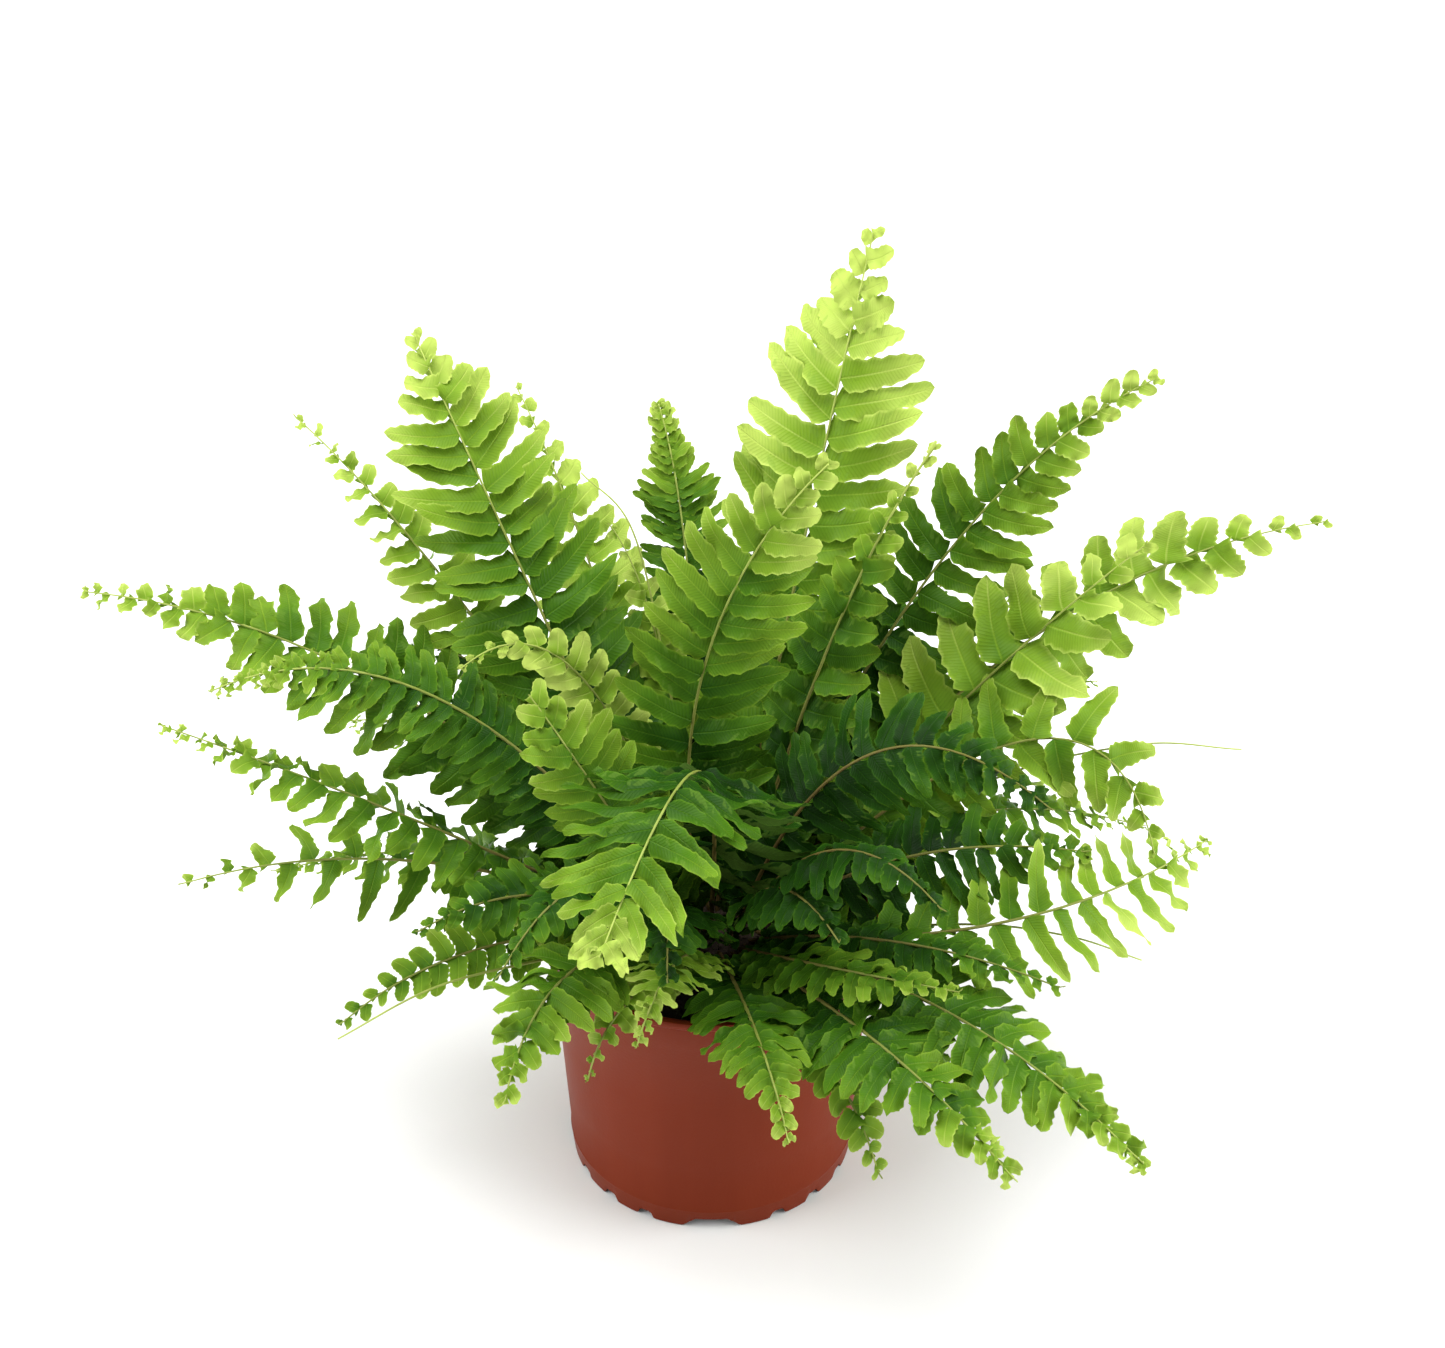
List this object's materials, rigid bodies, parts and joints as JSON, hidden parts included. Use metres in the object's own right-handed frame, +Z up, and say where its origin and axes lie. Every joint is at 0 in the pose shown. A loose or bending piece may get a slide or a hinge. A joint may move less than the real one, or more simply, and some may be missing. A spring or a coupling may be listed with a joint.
{
  "type": "potted fern",
  "caption": "Young sword fern in a round plastic nursery pot, with arching fronds of close-set leaflets all round, on a notched foot.",
  "frame": {"origin": "centre of the pot's foot, on the surface that the pot stands on", "axes": "+Z up through the pot and the crown, -Y towards the viewer's side where the low fronds hang over the pot, +X to the viewer's right"},
  "size_m": [0.4443, 0.2662, 0.3301],
  "materials": {
    "pot_plastic": "satin",
    "potting_mix": "matte",
    "crown_fibre": "matte",
    "bare_stem": "satin",
    "leaf_young": "satin",
    "leaf_grown": "satin",
    "leaf_old": "satin"
  },
  "bodies": {
    "root": {"pot": "pot_plastic", "soil": "potting_mix", "crown": "crown_fibre", "frond_back_tall": "leaf_grown", "frond_left_tall": "leaf_grown", "frond_left_tall_rear": "leaf_young", "frond_dark_narrow": "leaf_old", "frond_lime_left": "leaf_young", "frond_left_long": "leaf_grown", "frond_left_arch": "leaf_grown", "frond_left_edge": "leaf_grown", "frond_left_sparse": "leaf_grown", "frond_round_left": "leaf_grown", "frond_drop_left": "leaf_young", "frond_center_tall": "leaf_grown", "frond_coil_tip": "leaf_young", "frond_right_tall": "leaf_grown", "frond_right_long": "leaf_young", "frond_right_light": "leaf_young", "frond_right_dark_upper": "leaf_old", "frond_right_dark_lower": "leaf_old", "frond_right_hanging": "leaf_young", "frond_right_curved": "leaf_young", "frond_front_small": "leaf_grown", "frond_front_right": "leaf_grown", "frond_front_fall": "leaf_grown", "frond_front_center": "leaf_grown", "frond_front_rounded": "leaf_young", "frond_center_arch": "leaf_old", "frond_left_mid": "leaf_young", "frond_lime_small": "leaf_young", "frond_front_tiny": "leaf_young", "frond_front_pale": "leaf_young", "frond_left_pale": "leaf_young", "frond_fill_left": "leaf_old", "frond_fill_front_left": "leaf_old", "frond_fill_front_right": "leaf_old", "frond_fill_right": "leaf_grown", "frond_fill_rear_left": "leaf_old", "frond_fill_rear_right": "leaf_old", "frond_fill_rear": "leaf_old", "frond_lime_rear": "leaf_young", "frond_center_low_left": "leaf_old", "frond_center_low_right": "leaf_old", "frond_fill_rear_tall": "leaf_old", "frond_front_left_low": "leaf_grown", "frond_rear_right": "leaf_grown", "frond_rear_right_low": "leaf_grown", "frond_rear_mid_right": "leaf_grown", "frond_rear_mid": "leaf_grown", "frond_rear_mid_left": "leaf_grown", "frond_rear_left": "leaf_grown", "frond_rear_left_low": "leaf_grown", "frond_rear_low": "leaf_young", "frond_rear_low_left": "leaf_young", "runner_left": "bare_stem", "runner_right": "bare_stem", "runner_front": "bare_stem", "bare_stalk": "bare_stem"}
  },
  "joints": []
}
